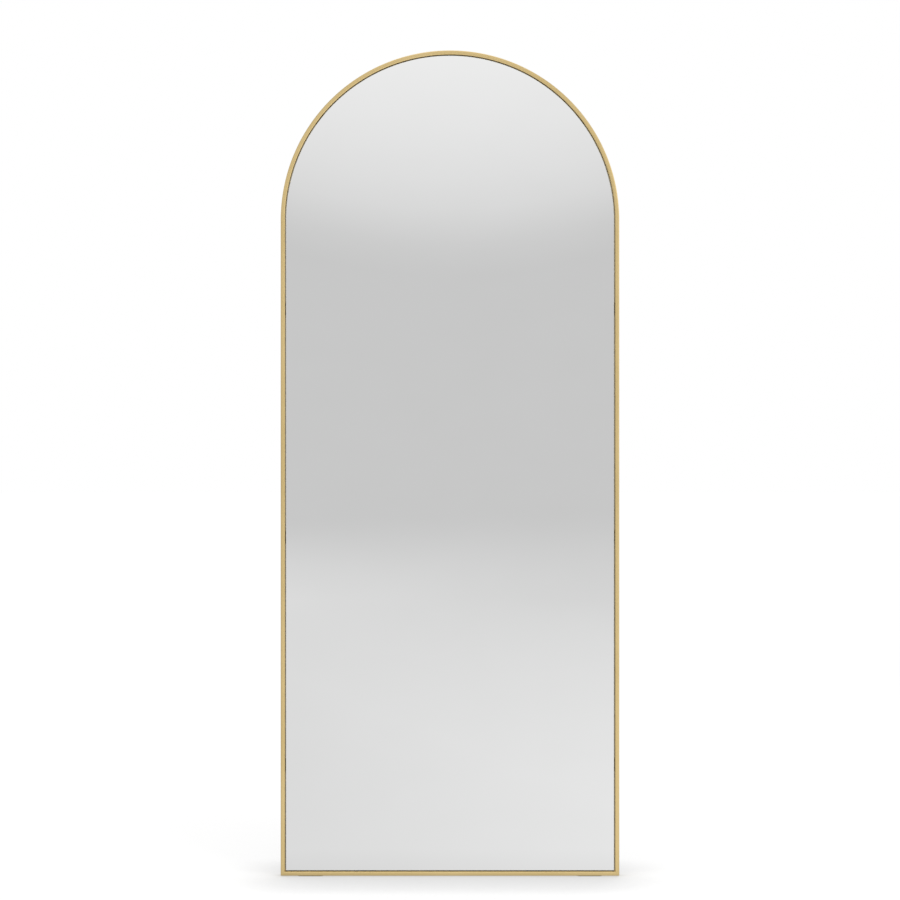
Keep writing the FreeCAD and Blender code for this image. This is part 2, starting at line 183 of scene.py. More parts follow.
# ---------------------------------------------------------------- finishes
class Graph:
    """A node tree with short ways to wire it."""

    def __init__(self, tree: bpy.types.NodeTree) -> None:
        """Keeps the tree."""
        self.tree = tree

    def node(self, kind: str, inputs: dict | None = None, **settings: object) -> bpy.types.Node:
        """Adds a node.

        Args:
            kind: The node's type.
            inputs: Values or sockets for its inputs, by name or number.
            **settings: The node's own options.

        Returns:
            The new node.
        """
        node = self.tree.nodes.new(kind)
        for name, value in settings.items():
            setattr(node, name, value)
        for name, value in (inputs or {}).items():
            if isinstance(value, bpy.types.NodeSocket):
                self.tree.links.new(value, node.inputs[name])
            else:
                node.inputs[name].default_value = value
        return node

    def link(self, source: bpy.types.NodeSocket, node: bpy.types.Node, name: str) -> None:
        """Links a socket to a node's input."""
        self.tree.links.new(source, node.inputs[name])

    def maths(self, operation: str, *values: object) -> bpy.types.NodeSocket:
        """The result of a Math node on values or sockets."""
        return self.node("ShaderNodeMath", dict(enumerate(values)), operation=operation).outputs[0]

    def product(self, *values: object) -> bpy.types.NodeSocket:
        """The product of two or more values or sockets."""
        return functools.reduce(functools.partial(self.maths, "MULTIPLY"), values)

    def spread(self, value: bpy.types.NodeSocket, start: Range, end: Range,
               smooth: bool = False) -> bpy.types.NodeSocket:
        """Maps a value from one range to another, held inside it.

        Args:
            value: The socket to map.
            start: The range that it comes from.
            end: The range that it goes to.
            smooth: Whether it eases in and out.

        Returns:
            The mapped value's socket.
        """
        inputs = {"Value": value, "From Min": start[0], "From Max": start[1],
                  "To Min": end[0], "To Max": end[1]}
        kind = "SMOOTHSTEP" if smooth else "LINEAR"
        return self.node("ShaderNodeMapRange", inputs, interpolation_type=kind).outputs["Result"]

    def blend(self, factor: bpy.types.NodeSocket, first: object, second: object,
              mode: str = "MIX") -> bpy.types.NodeSocket:
        """Mixes two colours, each a colour or a socket.

        Args:
            factor: How much of the second shows.
            first: The colour at 0.
            second: The colour at 1.
            mode: The Mix node's blend type.

        Returns:
            The mixed colour's socket.
        """
        mix = self.node("ShaderNodeMix", data_type="RGBA", blend_type=mode)
        for name, value in (("Factor", factor), ("A", first), ("B", second)):
            socket = next(s for s in mix.inputs if s.enabled and s.name == name)
            if isinstance(value, bpy.types.NodeSocket):
                self.tree.links.new(value, socket)
            elif isinstance(value, tuple):
                socket.default_value = (*value, 1)
            else:
                socket.default_value = value
        return next(s for s in mix.outputs if s.enabled)

    def ramp(self, value: bpy.types.NodeSocket,
             stops: Sequence[tuple[float, Colour]]) -> bpy.types.NodeSocket:
        """A colour that follows a value through a few stops.

        Args:
            value: The value's socket.
            stops: Places from 0 to 1, each with its colour.

        Returns:
            The colour's socket.
        """
        node = self.node("ShaderNodeValToRGB", {"Fac": value})
        elements = node.color_ramp.elements
        for place, _ in stops[2:]:
            elements.new(place)
        for element, (place, colour) in zip(elements, stops):
            element.position = place
            element.color = (*colour, 1)
        return node.outputs["Color"]


class Surface(Graph):
    """A material under construction around one Principled shader."""

    def __init__(self, name: str, **levels: float | Colour) -> None:
        """Starts a material.

        Args:
            name: The material's name.
            **levels: Constant levels of the shader, with _ for a space in a socket's name.
        """
        self.material = bpy.data.materials.new(name)
        self.material.use_nodes = True
        super().__init__(self.material.node_tree)
        self.shader = self.tree.nodes["Principled BSDF"]
        for key, value in levels.items():
            socket = self.shader.inputs[key.replace("_", " ")]
            socket.default_value = (*value, 1) if isinstance(value, tuple) else value

    def place(self, size: Grain, follows: Pattern = Pattern.OBJECT) -> bpy.types.NodeSocket:
        """Coordinates in which a pattern's grain has the given size.

        Args:
            size: The grain's size along each axis, in metres.
            follows: The coordinates that the pattern follows.

        Returns:
            The vector's socket.
        """
        if follows is Pattern.TUBE:
            source = self.node("ShaderNodeAttribute", attribute_name=follows.value).outputs["Vector"]
        else:
            source = self.node("ShaderNodeTexCoord").outputs["Object"]
        scale = tuple(1 / length for length in size)
        return self.node("ShaderNodeMapping", {"Vector": source, "Scale": scale}).outputs["Vector"]

    def noise(self, size: Grain, detail: float = 2, rough: float = 0.5,
              follows: Pattern = Pattern.OBJECT) -> bpy.types.NodeSocket:
        """Cloudy noise from about 0.25 to 0.75.

        Args:
            size: The grain's size along each axis, in metres.
            detail: Number of finer layers.
            rough: How much of the finer layers shows.
            follows: The coordinates that the pattern follows.

        Returns:
            The noise's socket.
        """
        inputs = {"Vector": self.place(size, follows), "Scale": 1, "Detail": detail, "Roughness": rough}
        return self.node("ShaderNodeTexNoise", inputs).outputs["Fac"]

    def cells(self, size: Grain, feature: str = "F1") -> bpy.types.NodeSocket:
        """Distance pattern of round cells of the given size."""
        inputs = {"Vector": self.place(size), "Scale": 1}
        return self.node("ShaderNodeTexVoronoi", inputs, feature=feature).outputs["Distance"]

    def level(self, name: str, value: bpy.types.NodeSocket, low: float, high: float) -> None:
        """Lets noise move one of the shader's levels between two values."""
        self.link(self.spread(value, NOISE_SPAN, (low, high)), self.shader, name)

    def colour(self, value: bpy.types.NodeSocket, first: Colour, second: Colour) -> None:
        """Lets noise move the base colour between two colours."""
        factor = self.spread(value, NOISE_SPAN, (0, 1))
        self.link(self.blend(factor, first, second), self.shader, "Base Color")

    def bump(self, *layers: tuple[bpy.types.NodeSocket, float]) -> None:
        """Gives the shader relief.

        Args:
            *layers: Pairs of a height's socket and its depth in metres, the first one lowest.
        """
        normal = None
        for height, depth in layers:
            inputs = {"Height": height, "Distance": depth, "Strength": 1}
            if normal is not None:
                inputs["Normal"] = normal
            normal = self.node("ShaderNodeBump", inputs).outputs["Normal"]
        self.link(normal, self.shader, "Normal")


class Finish(Protocol):
    """Anything that makes a material."""

    def make(self) -> bpy.types.Material:
        """Makes the material."""


@functools.cache
def material_of(finish: Finish) -> bpy.types.Material:
    """The one material of a finish."""
    return finish.make()


@dataclass(frozen=True)
class SatinGold:
    """Satin gold plating over steel, brushed along the tube and then clear coated."""

    follows: Pattern = Pattern.OBJECT
    light: Colour = (0.90, 0.69, 0.335)
    deep: Colour = (0.84, 0.635, 0.29)
    smoothest: float = 0.30
    roughest: float = 0.40
    brushing: Grain = (0.25 * MM, 0.25 * MM, 45 * MM)
    cloud: Grain = (60 * MM, 60 * MM, 160 * MM)
    cloud_share: float = 0.4  # of the roughness; the brushing has the rest
    scratch_depth: float = 0.0015 * MM

    def make(self) -> bpy.types.Material:
        """Makes the material.

        Returns:
            The new material.
        """
        surface = Surface(f"satin_gold_{self.follows.name.lower()}", Metallic=1.0, Coat_Weight=0.12,
                          Coat_Roughness=0.3)
        brushed = surface.noise(self.brushing, 3, 0.6, self.follows)
        cloud = surface.noise(self.cloud, 2, 0.5, self.follows)
        surface.colour(cloud, self.deep, self.light)
        both = surface.maths("ADD", surface.product(brushed, 1 - self.cloud_share),
                             surface.product(cloud, self.cloud_share))
        surface.level("Roughness", both, self.smoothest, self.roughest)
        surface.bump((brushed, self.scratch_depth))
        return surface.material


@dataclass(frozen=True)
class Silvering:
    """Front of the silvered glass: bright, with the faintest float waviness and haze."""

    tint: Colour = (0.927, 0.929, 0.927)
    tint_far: Colour = (0.934, 0.936, 0.935)
    haze: float = 0.012
    haze_size: Grain = (220 * MM, 220 * MM, 300 * MM)
    wave: Grain = (140 * MM, 140 * MM, 90 * MM)
    wave_depth: float = 0.0004 * MM

    def make(self) -> bpy.types.Material:
        """Makes the material.

        Returns:
            The new material.
        """
        surface = Surface("silvered_front", Metallic=1.0)
        wave = surface.noise(self.wave, 1)
        surface.colour(wave, self.tint, self.tint_far)
        surface.level("Roughness", surface.noise(self.haze_size, 4, 0.65), 0.0, self.haze)
        surface.bump((wave, self.wave_depth))
        return surface.material


@dataclass(frozen=True)
class GroundEdge:
    """The glass's ground edge and arrises: frosty, with the green of thick glass."""

    frost: Colour = (0.93, 0.95, 0.94)
    green: Colour = (0.82, 0.88, 0.85)

    def make(self) -> bpy.types.Material:
        """Makes the material.

        Returns:
            The new material.
        """
        surface = Surface("ground_glass_edge", Metallic=0.45, IOR=1.52, Specular_IOR_Level=0.6)
        surface.colour(surface.noise((6 * MM, 1.2 * MM, 6 * MM), 3), self.green, self.frost)
        wheel = surface.noise((0.3 * MM, 0.08 * MM, 0.3 * MM), 2)
        surface.level("Roughness", wheel, 0.22, 0.36)
        surface.bump((wheel, 0.003 * MM))
        return surface.material


@dataclass(frozen=True)
class MirrorBacking:
    """Grey protective paint over the silvering, with a roller's faint texture."""

    light: Colour = (0.34, 0.35, 0.36)
    dark: Colour = (0.28, 0.29, 0.30)

    def make(self) -> bpy.types.Material:
        """Makes the material.

        Returns:
            The new material.
        """
        surface = Surface("mirror_backing_paint")
        roller = surface.noise((2.5 * MM, 2.5 * MM, 2.5 * MM), 3)
        surface.colour(surface.noise((90 * MM, 90 * MM, 90 * MM), 3), self.dark, self.light)
        surface.level("Roughness", roller, 0.42, 0.55)
        surface.bump((roller, 0.02 * MM))
        return surface.material


@dataclass(frozen=True)
class PaintedBoard:
    """Black painted MDF: a matt, slightly dusty coat over sanded fibres."""

    black: Colour = (0.026, 0.025, 0.024)
    dusty: Colour = (0.044, 0.043, 0.042)

    def make(self) -> bpy.types.Material:
        """Makes the material.

        Returns:
            The new material.
        """
        surface = Surface("black_painted_board")
        fibres = surface.noise((0.5 * MM, 0.5 * MM, 4 * MM), 4, 0.6)
        roller = surface.noise((3 * MM, 3 * MM, 3 * MM), 2)
        patches = surface.noise((160 * MM, 160 * MM, 260 * MM), 4, 0.6)
        surface.colour(patches, self.black, self.dusty)
        surface.level("Roughness", patches, 0.52, 0.68)
        surface.bump((roller, 0.03 * MM), (fibres, 0.012 * MM))
        return surface.material


@dataclass(frozen=True)
class ZincPlating:
    """Bright zinc on pressed steel, with a faint spangle and handling marks."""

    name: str
    pale: Colour = (0.70, 0.71, 0.71)
    grey: Colour = (0.52, 0.53, 0.535)
    smoothest: float = 0.24
    roughest: float = 0.40

    def make(self) -> bpy.types.Material:
        """Makes the material.

        Returns:
            The new material.
        """
        surface = Surface(self.name, Metallic=1.0)
        spangle = surface.cells((1.6 * MM, 1.6 * MM, 1.6 * MM))
        marks = surface.noise((4 * MM, 4 * MM, 4 * MM), 4, 0.65)
        mean = surface.product(surface.maths("ADD", spangle, marks), 0.5)
        surface.colour(mean, self.grey, self.pale)
        surface.level("Roughness", marks, self.smoothest, self.roughest)
        surface.bump((marks, 0.006 * MM))
        return surface.material


@dataclass(frozen=True)
class Rubber:
    """Moulded black rubber with a fine stipple and a bloom of paler dust."""

    black: Colour = (0.016, 0.016, 0.016)
    bloom: Colour = (0.035, 0.034, 0.033)

    def make(self) -> bpy.types.Material:
        """Makes the material.

        Returns:
            The new material.
        """
        surface = Surface("black_rubber", Specular_IOR_Level=0.35)
        stipple = surface.cells((0.45 * MM, 0.45 * MM, 0.45 * MM))
        surface.colour(surface.noise((7 * MM, 7 * MM, 7 * MM), 3), self.black, self.bloom)
        surface.level("Roughness", stipple, 0.62, 0.82)
        surface.bump((stipple, 0.02 * MM))
        return surface.material


@dataclass(frozen=True)
class FilmSheet:
    """Pale splinter film with a fine woven emboss."""

    pale: Colour = (0.80, 0.83, 0.86)
    blue: Colour = (0.70, 0.75, 0.81)

    def make(self) -> bpy.types.Material:
        """Makes the material.

        Returns:
            The new material.
        """
        surface = Surface("splinter_film")
        weave = surface.noise((1.1 * MM, 1.1 * MM, 1.1 * MM), 1)
        surface.colour(surface.noise((50 * MM, 50 * MM, 50 * MM), 3), self.blue, self.pale)
        surface.level("Roughness", weave, 0.22, 0.34)
        surface.bump((weave, 0.03 * MM))
        return surface.material


@dataclass(frozen=True)
class FoamTape:
    """White closed-cell foam."""

    white: Colour = (0.86, 0.86, 0.83)
    cream: Colour = (0.76, 0.75, 0.71)

    def make(self) -> bpy.types.Material:
        """Makes the material.

        Returns:
            The new material.
        """
        surface = Surface("white_foam", Specular_IOR_Level=0.25)
        cells = surface.cells((0.5 * MM, 0.5 * MM, 0.5 * MM))
        surface.colour(cells, self.cream, self.white)
        surface.level("Roughness", cells, 0.8, 0.95)
        surface.bump((cells, 0.08 * MM))
        return surface.material


@dataclass(frozen=True)
class CuredAdhesive:
    """Off-white cured adhesive with drag marks from its nozzle."""

    pale: Colour = (0.82, 0.79, 0.72)
    amber: Colour = (0.70, 0.66, 0.56)

    def make(self) -> bpy.types.Material:
        """Makes the material.

        Returns:
            The new material.
        """
        surface = Surface("cured_adhesive")
        drag = surface.noise((2 * MM, 2 * MM, 16 * MM), 3)
        surface.colour(drag, self.amber, self.pale)
        surface.level("Roughness", drag, 0.35, 0.55)
        surface.bump((drag, 0.1 * MM))
        return surface.material


# ---------------------------------------------------------------- pieces
@dataclass(frozen=True)
class Piece:
    """A finished mesh that rides on a body of the model."""

    name: str
    slot: Slot
    finishes: tuple[Finish, ...]
    body: str = MIRROR_BODY
    replaced: tuple[str, ...] = ()
    sheet: float = 0.0  # thickness that a solidify modifier gives to a middle surface
    soften: float = 0.0  # width of the soft edge that a bevel modifier gives

    def finish(self, shape: bmesh.types.BMesh) -> bpy.types.Object:
        """Turns a shape into a riding, dressed object.

        Args:
            shape: The piece's shape in its place, used up by this.

        Returns:
            The object.
        """
        bmesh.ops.recalc_face_normals(shape, faces=shape.faces[:])
        mesh = bpy.data.meshes.new(self.name)
        shape.to_mesh(mesh)
        shape.free()
        for finish in self.finishes:
            mesh.materials.append(material_of(finish))
        mesh.shade_smooth()
        mesh.set_sharp_from_angle(angle=SHARP_EDGE)
        piece = bpy.data.objects.new(self.name, mesh)
        bpy.context.scene.collection.objects.link(piece)
        if self.sheet:
            thicken = piece.modifiers.new("sheet", "SOLIDIFY")
            thicken.thickness = self.sheet
            thicken.offset = 0
            thicken.use_even_offset = True
        if self.soften:
            bevel = piece.modifiers.new("soft_edges", "BEVEL")
            bevel.width = self.soften
            bevel.segments = 2
            bevel.limit_method = "ANGLE"
            bevel.angle_limit = SHARP_EDGE
        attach(piece, self.body)
        if self.replaced:
            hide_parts(*self.replaced)
        replaced = ", ".join(self.replaced) or "nothing"
        LOG.info("%s: %d faces, replaces %s", self.name, len(mesh.polygons), replaced)
        return piece


def dress(finish: Finish, *nodes: str) -> None:
    """Gives CAD nodes that stay a finish.

    Args:
        finish: The finish.
        *nodes: The nodes' names.
    """
    for name in nodes:
        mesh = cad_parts[name].data
        mesh.materials.clear()
        mesh.materials.append(material_of(finish))
        LOG.info("%s: kept from the frame, dressed as %s", name, mesh.materials[0].name)


def rounded_face(shape: bmesh.types.BMesh, width: float, height: float, corner: float,
                 segments: int) -> bmesh.types.BMFace:
    """Makes a rounded rectangle in the XY plane, centred on the origin.

    Args:
        shape: An empty shape to make it in.
        width: Size along X.
        height: Size along Y.
        corner: Radius of its corners.
        segments: Straight lengths in each corner.

    Returns:
        The new face.
    """
    corners = bmesh.ops.create_grid(shape, x_segments=1, y_segments=1, size=0.5)["verts"]
    bmesh.ops.scale(shape, vec=(width, height, 1), verts=corners)
    bmesh.ops.bevel(shape, geom=corners, offset=corner, offset_type="OFFSET", affect="VERTICES",
                    segments=segments, profile=0.5, material=-1)
    return next(iter(shape.faces))


def stand(origin: Vector, across: Vector, along: Vector) -> Matrix:
    """Matrix that lays the XY plane's section across a path.

    Args:
        origin: Where the section's middle goes.
        across: Where its X goes.
        along: The path's heading, where its Z goes.

    Returns:
        The placing matrix.
    """
    turn = Matrix((across, along.cross(across), along)).transposed().to_4x4()
    return Matrix.Translation(origin) @ turn


class Sweep:
    """Carries a section along straight runs and round bends."""

    def __init__(self, shape: bmesh.types.BMesh, section: list, start: Vector, heading: Vector) -> None:
        """Starts at a section that already stands in its place.

        Args:
            shape: The shape that holds the section.
            section: Its faces, edges and vertices, or only edges and vertices for an open tube.
            start: The path's first point.
            heading: The path's first direction.
        """
        self.shape = shape
        self.last = section
        self.point = start.copy()
        self.heading = heading.copy()

    def _spin(self, centre: Vector, axis: Vector, shift: Vector, angle: float, steps: int) -> None:
        """Spins the last section on, with a turn or a shift at each step.

        Args:
            centre: A point of the turn's axis.
            axis: The turn's axis.
            shift: The way that each step goes besides the turn.
            angle: The whole turn.
            steps: Number of steps.
        """
        made = bmesh.ops.spin(self.shape, geom=self.last, cent=centre, axis=axis, dvec=shift, angle=angle,
                              steps=steps, use_merge=False, use_duplicate=False)
        self.last = made["geom_last"]

    def run(self, length: float) -> "Sweep":
        """Carries the section straight on.

        Args:
            length: How far.

        Returns:
            This sweep, for the next call.
        """
        self._spin(self.point, self.heading, self.heading * length, 0.0, 1)
        self.point += self.heading * length
        return self

    def bend(self, angle: float, radius: float, axis: Vector, steps: int) -> "Sweep":
        """Carries the section round a bend.

        Args:
            angle: The turn about axis, in radians.
            radius: From the bend's centre to the path.
            axis: The bend's axis, square to the path.
            steps: Straight lengths in the bend.

        Returns:
            This sweep, for the next call.
        """
        centre = self.point + axis.cross(self.heading) * radius
        self._spin(centre, axis, Vector(), angle, steps)
        turn = Matrix.Rotation(angle, 3, axis)
        self.point = centre + turn @ (self.point - centre)
        self.heading = turn @ self.heading
        return self

    def swell(self, factor: float) -> "Sweep":
        """Makes the last section larger or smaller about the path.

        Args:
            factor: Its new size against the old.

        Returns:
            This sweep, for the next call.
        """
        bmesh.ops.scale(self.shape, vec=(factor,) * 3, verts=verts_of(self.last),
                        space=Matrix.Translation(-self.point))
        return self


def whole(shape: bmesh.types.BMesh) -> list:
    """All of a shape's vertices, edges and faces."""
    return shape.verts[:] + shape.edges[:] + shape.faces[:]


def verts_of(geometry: Sequence) -> list[bmesh.types.BMVert]:
    """The vertices among a shape's elements."""
    return [element for element in geometry if isinstance(element, bmesh.types.BMVert)]


def around(faces: Sequence[bmesh.types.BMFace]) -> list:
    """Some faces with their own edges and vertices.

    Args:
        faces: The faces.

    Returns:
        The faces, their edges and their vertices.
    """
    edges = {edge for face in faces for edge in face.edges}
    verts = {vert for face in faces for vert in face.verts}
    return [*faces, *edges, *verts]


def slice_off(shape: bmesh.types.BMesh, geometry: Sequence, point: Vector,
              outward: Vector) -> list[bmesh.types.BMEdge]:
    """Cuts away what lies outside a plane.

    Args:
        shape: The shape to cut.
        geometry: The elements of it that the cut may reach.
        point: A point of the plane.
        outward: The plane's normal, towards what goes.

    Returns:
        The edges of the open cut.
    """
    cut = bmesh.ops.bisect_plane(shape, geom=geometry, plane_co=point, plane_no=outward, clear_outer=True)
    return [element for element in cut["geom_cut"] if isinstance(element, bmesh.types.BMEdge)]


def repeat(shape: bmesh.types.BMesh, places: Sequence[Matrix]) -> None:
    """Puts a copy of a shape at each place instead of where it is.

    Args:
        shape: The shape, made about the origin.
        places: Where its copies go.
    """
    first = whole(shape)
    for place in places:
        copy = bmesh.ops.duplicate(shape, geom=first)["geom"]
        bmesh.ops.transform(shape, matrix=place, verts=verts_of(copy))
    bmesh.ops.delete(shape, geom=verts_of(first), context="VERTS")


# ---------------------------------------------------------------- frame
@dataclass(frozen=True)
class TubeFrame:
    """Slim frame: one bent rectangular tube over a straight bottom tube, mitred at the feet."""

    layout: Layout
    arch_steps: int = 128
    corner_steps: int = 8
    corner_blunt: float = 0.7 * MM  # ground off the outer bottom corners

    def _section(self, shape: bmesh.types.BMesh, start: Vector, across: Vector, along: Vector) -> list:
        """Adds the tube's hollow section across a path.

        Args:
            shape: The shape to add to.
            start: Middle of the section.
            across: Direction of the tube's narrow face.
            along: The path's heading.

        Returns:
            The section's faces, edges and vertices.
        """
        face = rounded_face(shape, self.layout.tube_face, self.layout.depth, TUBE_CORNER, self.corner_steps)
        bmesh.ops.inset_individual(shape, faces=[face], thickness=TUBE_WALL, use_even_offset=True)
        bmesh.ops.delete(shape, geom=[face], context="FACES_ONLY")
        bmesh.ops.transform(shape, matrix=stand(start, across, along), verts=shape.verts[:])
        return whole(shape)

    def _cut_ends(self, shape: bmesh.types.BMesh, kept: float) -> None:
        """Blunts a tube's outer bottom corners, then mitres its ends on the planes through them.

        Args:
            shape: The tube.
            kept: 1 for a tube above the mitres, -1 for one below them.
        """
        layout = self.layout
        reach = self.corner_blunt / math.sqrt(2)
        for side in Side:
            blunt = Vector((side.value * (layout.outer_radius - reach), 0, layout.foot))
            rim = slice_off(shape, self._end(shape, side), blunt, Vector((side.value, 0, -1)))
            bmesh.ops.holes_fill(shape, edges=rim)
            corner = Vector((side.value * layout.outer_radius, 0, layout.foot))
            rims = slice_off(shape, self._end(shape, side), corner, Vector((-side.value, 0, -1)) * kept)
            bmesh.ops.triangle_fill(shape, edges=rims, use_beauty=True)

    def _end(self, shape: bmesh.types.BMesh, side: Side) -> list:
        """The elements on one side of a tube's middle.

        Args:
            shape: The tube.
            side: The side.

        Returns:
            The edges and faces that lie there, and the vertices.
        """
        near = {vert for vert in shape.verts if vert.co.x * side.value > -self.layout.tube_face / 2}
        held = [element for element in shape.edges[:] + shape.faces[:] if near.issuperset(element.verts)]
        return held + [*near]

    def _straighten(self, piece: bpy.types.Object) -> None:
        """Stores each vertex's place along the straightened tube, for the brushed grain.

        Args:
            piece: The tube's object.
        """
        layout = self.layout
        middle_radius = layout.middle_radius
        places = piece.data.attributes.new(Pattern.TUBE.value, "FLOAT_VECTOR", "POINT")
        for vertex, place in zip(piece.data.vertices, places.data):
            x, y, z = vertex.co
            if z > layout.spring:
                turn = math.atan2(x, z - layout.spring)
                across = math.hypot(x, z - layout.spring)
                along = layout.spring + middle_radius * (math.pi / 2 + turn)
            elif z > layout.foot + layout.tube_face or piece.name.startswith("arch"):
                across = abs(x)
                along = z if x < 0 else 2 * layout.spring + middle_radius * math.pi - z
            else:
                across = z
                along = x
            place.vector = (across, y, along)

    def build_arch(self) -> None:
        """Both legs and the arch from one tube."""
        layout = self.layout
        middle_radius = layout.middle_radius
        shape = bmesh.new()
        start = Vector((-middle_radius, layout.middle, layout.foot))
        sweep = Sweep(shape, self._section(shape, start, ACROSS, UP), start, UP)
        sweep.run(LEG_HEIGHT).bend(math.pi, middle_radius, BACK, self.arch_steps).run(LEG_HEIGHT)
        self._cut_ends(shape, 1)
        piece = Piece("arch_tube_brushed", Slot.GOLD, (SatinGold(Pattern.TUBE),), replaced=("arch_tube",))
        self._straighten(piece.finish(shape))

    def build_bottom(self) -> None:
        """The straight bottom tube."""
        layout = self.layout
        shape = bmesh.new()
        start = Vector((-layout.outer_radius, layout.middle, layout.foot + layout.tube_face / 2))
        sweep = Sweep(shape, self._section(shape, start, UP, ACROSS), start, ACROSS)
        sweep.run(layout.outer_radius).run(layout.outer_radius)
        self._cut_ends(shape, -1)
        piece = Piece("bottom_tube_brushed", Slot.GOLD, (SatinGold(Pattern.TUBE),), replaced=("bottom_tube",))
        self._straighten(piece.finish(shape))

    def build(self) -> None:
        """Builds both tubes."""
        self.build_arch()
        self.build_bottom()


@dataclass(frozen=True)
class WeldBead:
    """Short rippled weld in the corner between a tab's back and the tube's inner wall."""

    length: float = 9.0 * MM
    radius: float = 1.3 * MM
    ripples: int = 7
    sides: int = 12
    blunt: float = 0.4  # size of the bead's ends against its middle
    swelling: float = 1.14  # of each ripple

    def shape(self) -> bmesh.types.BMesh:
        """One bead along X, with the corner's line through its middle.

        Returns:
            The new shape.
        """
        shape = bmesh.new()
        start = Vector((-self.length / 2, 0, 0))
        bmesh.ops.create_circle(shape, cap_ends=True, radius=self.radius * self.blunt, segments=self.sides,
                                matrix=stand(start, BACK, ACROSS))
        pitch = self.length / (self.ripples + 1)
        sweep = Sweep(shape, whole(shape), start, ACROSS)
        sweep.run(pitch / 2).swell(1 / self.blunt)
        for _ in range(self.ripples):
            sweep.run(pitch / 2).swell(self.swelling).run(pitch / 2).swell(1 / self.swelling)
        sweep.run(pitch / 2).swell(self.blunt)
        return shape


@dataclass(frozen=True)
class WoodScrew:
    """Pan head wood screw with a cross recess, made along Z with its head's seat at Z 0."""

    length: float
    head_radius: float = 3.8 * MM
    head_height: float = 2.3 * MM
    flat_radius: float = 2.5 * MM  # of the head's top, round the recess
    core_radius: float = 1.25 * MM
    thread_radius: float = 1.88 * MM
    pitch: float = 1.6 * MM
    tip: float = 3.6 * MM
    recess_width: float = 1.0 * MM
    recess_span: float = 4.4 * MM
    recess_depth: float = 1.3 * MM
    recess_taper: float = 0.5
    dome: tuple[Range, ...] = ((0.96, 0), (1, 0.07), (1, 0.34), (0.97, 0.58), (0.9, 0.79), (0.79, 0.94))
    thread_start: float = 0.55  # of the pitch, where the flank starts to rise
    crest: Range = (0.78, 0.84)  # of the pitch
    root_overlap: float = 0.1  # of the head's height, by which the shank reaches into it
    blunt_tip: float = 0.06  # of the radius that the point keeps
    head_steps: int = 32
    thread_steps: int = 16

    def _turn(self, shape: bmesh.types.BMesh, profile: Sequence[tuple[float, float]], steps: int,
              climb: float = 0.0) -> None:
        """Turns a profile of (radius, height) once round Z, with a climb where it is a thread.

        Args:
            shape: The shape to add to.
            profile: The profile's points.
            steps: Straight lengths round the turn.
            climb: Height gained in the turn.
        """
        verts = [shape.verts.new((radius, 0, height)) for radius, height in profile]
        edges = [shape.edges.new(pair) for pair in zip(verts, verts[1:])]
        bmesh.ops.spin(shape, geom=verts + edges, cent=Vector(), axis=UP, dvec=UP * climb / steps,
                       angle=math.tau, steps=steps, use_merge=climb == 0, use_duplicate=False)
        bmesh.ops.remove_doubles(shape, verts=shape.verts[:], dist=MM / 1000)

    def _head(self) -> bmesh.types.BMesh:
        """The domed head with its cross recess.

        Returns:
            The new shape.
        """
        shape = bmesh.new()
        top, rim = self.head_height, self.head_radius
        dome = ((rim * radius, top * height) for radius, height in self.dome)
        self._turn(shape, ((self.core_radius, 0), *dome, (self.flat_radius, top)), self.head_steps)
        bmesh.ops.holes_fill(shape, edges=[edge for edge in shape.edges if edge.is_boundary])
        for axis in (ACROSS, BACK):
            for reach in (self.recess_width, self.recess_span):
                for sign in (-1, 1):
                    bmesh.ops.bisect_plane(shape, geom=around(self._top(shape)),
                                           plane_co=axis * sign * reach / 2, plane_no=axis)
        cross = [face for face in self._top(shape) if self._in_cross(face)]
        low = verts_of(bmesh.ops.extrude_face_region(shape, geom=around(cross))["geom"])
        bmesh.ops.translate(shape, vec=-UP * self.recess_depth, verts=low)
        bmesh.ops.scale(shape, vec=(self.recess_taper, self.recess_taper, 1), verts=low)
        return shape

    def _top(self, shape: bmesh.types.BMesh) -> list[bmesh.types.BMFace]:
        """The faces of the head's flat top."""
        return [face for face in shape.faces if face.calc_center_median().z > self.head_height * 0.99]

    def _in_cross(self, face: bmesh.types.BMFace) -> bool:
        """Whether a face of the head's top lies inside the cross."""
        near, far = sorted(abs(value) for value in face.calc_center_median().xy)
        return near < self.recess_width / 2 and far < self.recess_span / 2

    def _shank(self) -> bmesh.types.BMesh:
        """The threaded shank with its gimlet point.

        Returns:
            The new shape.
        """
        shape = bmesh.new()
        turns = math.ceil(self.length / self.pitch) + 2
        profile = []
        for turn in range(turns):
            foot = (turn + 1 - turns) * self.pitch
            profile += [(self.core_radius, foot), (self.core_radius, foot + self.thread_start * self.pitch)]
            profile += [(self.thread_radius, foot + share * self.pitch) for share in self.crest]
        self._turn(shape, profile, self.thread_steps, self.pitch)
        for height, outward in ((self.root_overlap * self.head_height, UP), (-self.length, -UP)):
            rim = slice_off(shape, whole(shape), UP * height, outward)
            bmesh.ops.holes_fill(shape, edges=rim)
        for vert in shape.verts:
            vert.co.xy *= min(1.0, (vert.co.z + self.length) / self.tip + self.blunt_tip)
        return shape

    def shape(self) -> bmesh.types.BMesh:
        """The whole screw.

        Returns:
            The new shape.
        """
        mesh = bpy.data.meshes.new("shank")
        shank = self._shank()
        shank.to_mesh(mesh)
        shank.free()
        screw = self._head()
        screw.from_mesh(mesh)
        bpy.data.meshes.remove(mesh)
        return screw


